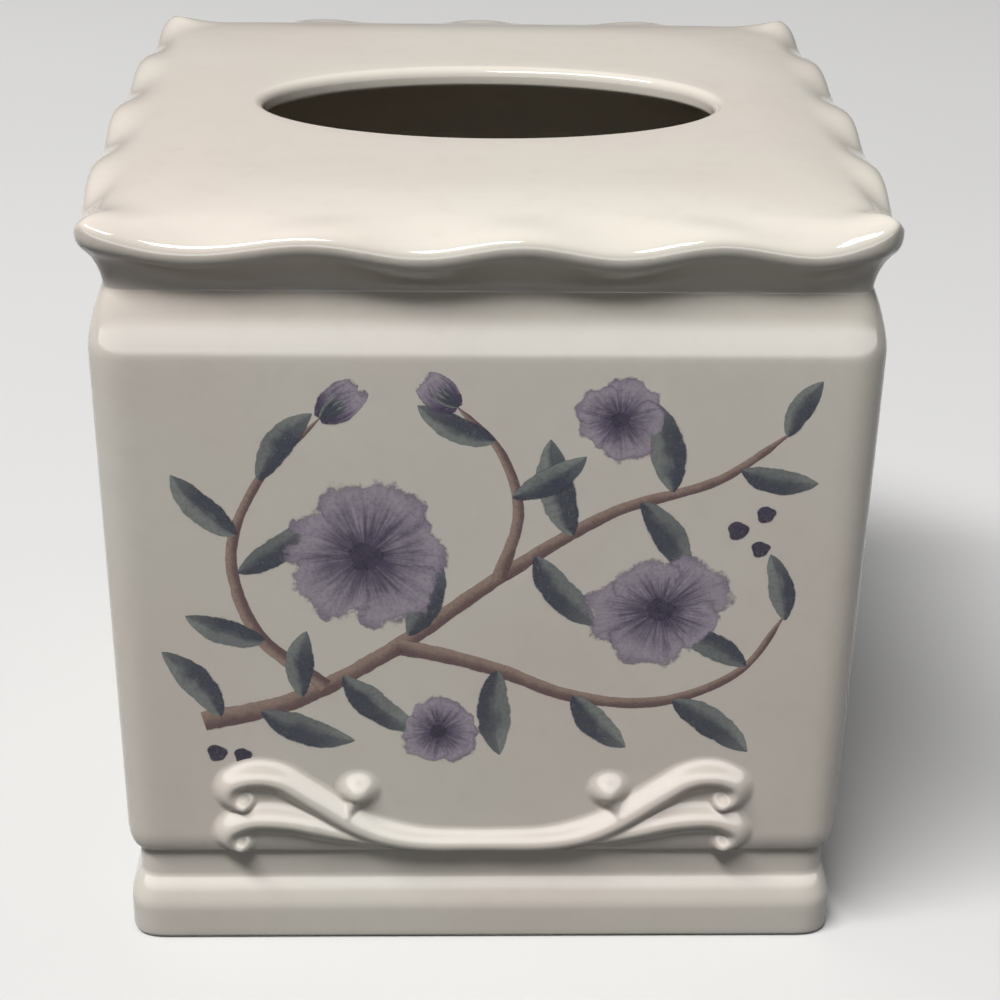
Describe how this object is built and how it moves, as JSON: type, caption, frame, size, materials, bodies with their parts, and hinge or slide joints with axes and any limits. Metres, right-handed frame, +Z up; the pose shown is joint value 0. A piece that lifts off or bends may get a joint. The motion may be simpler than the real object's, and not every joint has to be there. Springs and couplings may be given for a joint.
{
  "type": "tissue box cover",
  "caption": "Square glazed ceramic cover that drops over a cube tissue carton: scalloped top with an oval mouth, coved neck, relief scrolls on the walls and a moulded plinth.",
  "frame": {"origin": "on the floor, under the middle of the plinth", "axes": "+Z up, the front wall towards -Y, the mouth's long axis along X"},
  "size_m": [0.1336, 0.1336, 0.1367],
  "materials": {
    "wall_glaze": "glossy ivory glaze with a printed floral spray under it",
    "top_glaze": "glossy ivory glaze",
    "plinth_glaze": "glossy ivory glaze",
    "scroll_glaze": "glossy ivory glaze"
  },
  "bodies": {
    "root": {"base_plinth": "plinth_glaze", "body_shell": "wall_glaze", "top_plate": "top_glaze", "scroll_front": "scroll_glaze", "scroll_right": "scroll_glaze", "scroll_back": "scroll_glaze", "scroll_left": "scroll_glaze"}
  },
  "joints": []
}
